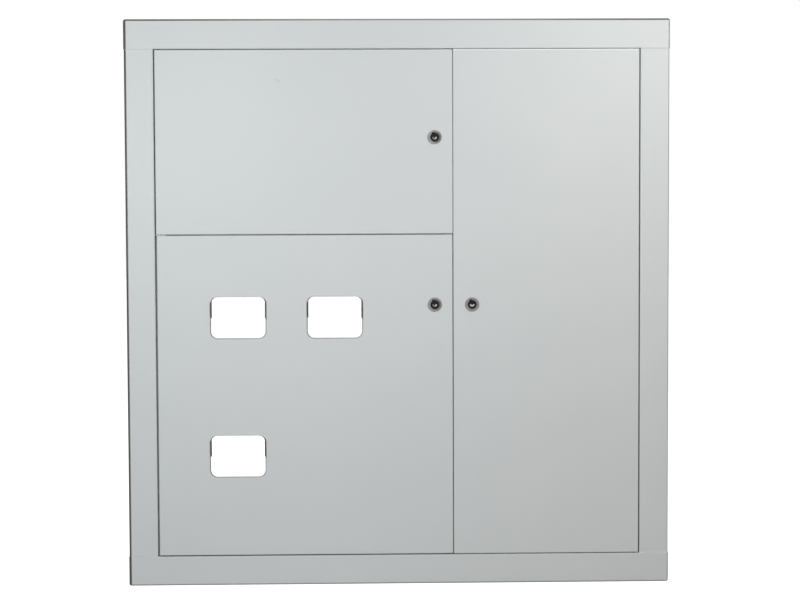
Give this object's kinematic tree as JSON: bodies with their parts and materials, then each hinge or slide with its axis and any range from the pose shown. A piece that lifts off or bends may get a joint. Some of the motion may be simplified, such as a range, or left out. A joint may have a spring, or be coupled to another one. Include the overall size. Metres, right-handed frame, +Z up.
{
  "type": "floor distribution board",
  "caption": "Flush steel distribution board for a wall niche, with a trim frame, a breaker door, a meter door with windows, a tall door and quarter-turn locks.",
  "frame": {"origin": "middle of the anchor hole pattern on the back plane", "axes": "+X to the right seen from the front, +Y into the wall, +Z up"},
  "size_m": [0.96, 0.1525, 1],
  "materials": {
    "frame_paint": "light grey powder coat, fine texture",
    "door_paint": "light grey powder coat, fine texture",
    "galvanised": "galvanised",
    "zinc_lock": "satin zinc die casting",
    "lock_core": "dull steel",
    "fastener": "zinc plated",
    "clip_black": "black phosphated spring steel",
    "bar_brass": "rolled brass",
    "support_blue": "moulded",
    "support_green": "moulded"
  },
  "bodies": {
    "root": {"trim_top": "frame_paint", "trim_bottom": "frame_paint", "trim_left": "frame_paint", "trim_right": "frame_paint", "left_wall": "frame_paint", "right_wall": "frame_paint", "top_wall": "frame_paint", "bottom_wall": "frame_paint", "partition": "frame_paint", "mullion": "frame_paint", "transom": "frame_paint", "hinge_bracket": "frame_paint", "hinge_bracket_pin": "fastener", "body_earth_stud": "fastener", "upright_left": "frame_paint", "upright_right": "frame_paint", "terminal_rail": "galvanised", "meter_rail_1": "galvanised", "meter_rail_2": "galvanised", "meter_rail_3": "galvanised", "meter_rail_4": "galvanised", "din_rail_upper": "galvanised", "din_rail_lower": "galvanised", "breaker_cover": "frame_paint", "cover_screws": "fastener", "neutral_bar": "bar_brass", "neutral_supports": "support_blue", "earth_bar": "bar_brass", "earth_supports": "support_green", "signal_plate": "galvanised"},
    "upper_door": {"upper_door_panel": "door_paint", "upper_door_pin_tabs": "door_paint", "upper_door_hinge_pin": "fastener", "upper_door_earth_stud": "fastener", "upper_lock_housing": "zinc_lock", "upper_lock_nut": "fastener"},
    "meter_door": {"meter_door_panel": "door_paint", "meter_door_pin_tabs": "door_paint", "meter_door_hinge_pin": "fastener", "meter_door_stiffener": "door_paint", "meter_door_earth_stud": "fastener", "window_clips": "clip_black", "meter_lock_housing": "zinc_lock", "meter_lock_nut": "fastener"},
    "tall_door": {"tall_door_panel": "door_paint", "tall_door_pin_tabs": "door_paint", "tall_door_hinge_pins": "fastener", "tall_door_stiffener": "door_paint", "tall_door_earth_stud": "fastener", "tall_lock_housing": "zinc_lock", "tall_lock_nut": "fastener"},
    "upper_lock": {"upper_lock_rotor": "lock_core", "upper_lock_cam": "fastener", "upper_lock_cam_screw": "fastener"},
    "meter_lock": {"meter_lock_rotor": "lock_core", "meter_lock_cam": "fastener", "meter_lock_cam_screw": "fastener"},
    "tall_lock": {"tall_lock_rotor": "lock_core", "tall_lock_cam": "fastener", "tall_lock_cam_screw": "fastener"}
  },
  "joints": [
    {"name": "upper_door_hinge", "type": "hinge", "parent": "root", "child": "upper_door", "pos_m": [-0.4182, -0.145, 0.28485], "axis": [0, 0, -1], "range_deg": [0, 120]},
    {"name": "meter_door_hinge", "type": "hinge", "parent": "root", "child": "meter_door", "pos_m": [-0.4182, -0.145, -0.1624], "axis": [0, 0, -1], "range_deg": [0, 120]},
    {"name": "tall_door_hinge", "type": "hinge", "parent": "root", "child": "tall_door", "pos_m": [0.4183, -0.145, 0], "axis": [0, 0, 1], "range_deg": [0, 120]},
    {"name": "upper_lock_turn", "type": "hinge", "parent": "upper_door", "child": "upper_lock", "pos_m": [0.0647, -0.15, 0.2926], "axis": [0, -1, 0], "range_deg": [0, 90]},
    {"name": "meter_lock_turn", "type": "hinge", "parent": "meter_door", "child": "meter_lock", "pos_m": [0.0642, -0.15, -0.0024], "axis": [0, -1, 0], "range_deg": [0, 90]},
    {"name": "tall_lock_turn", "type": "hinge", "parent": "tall_door", "child": "tall_lock", "pos_m": [0.1303, -0.15, -0.0024], "axis": [0, 1, 0], "range_deg": [0, 90]}
  ]
}
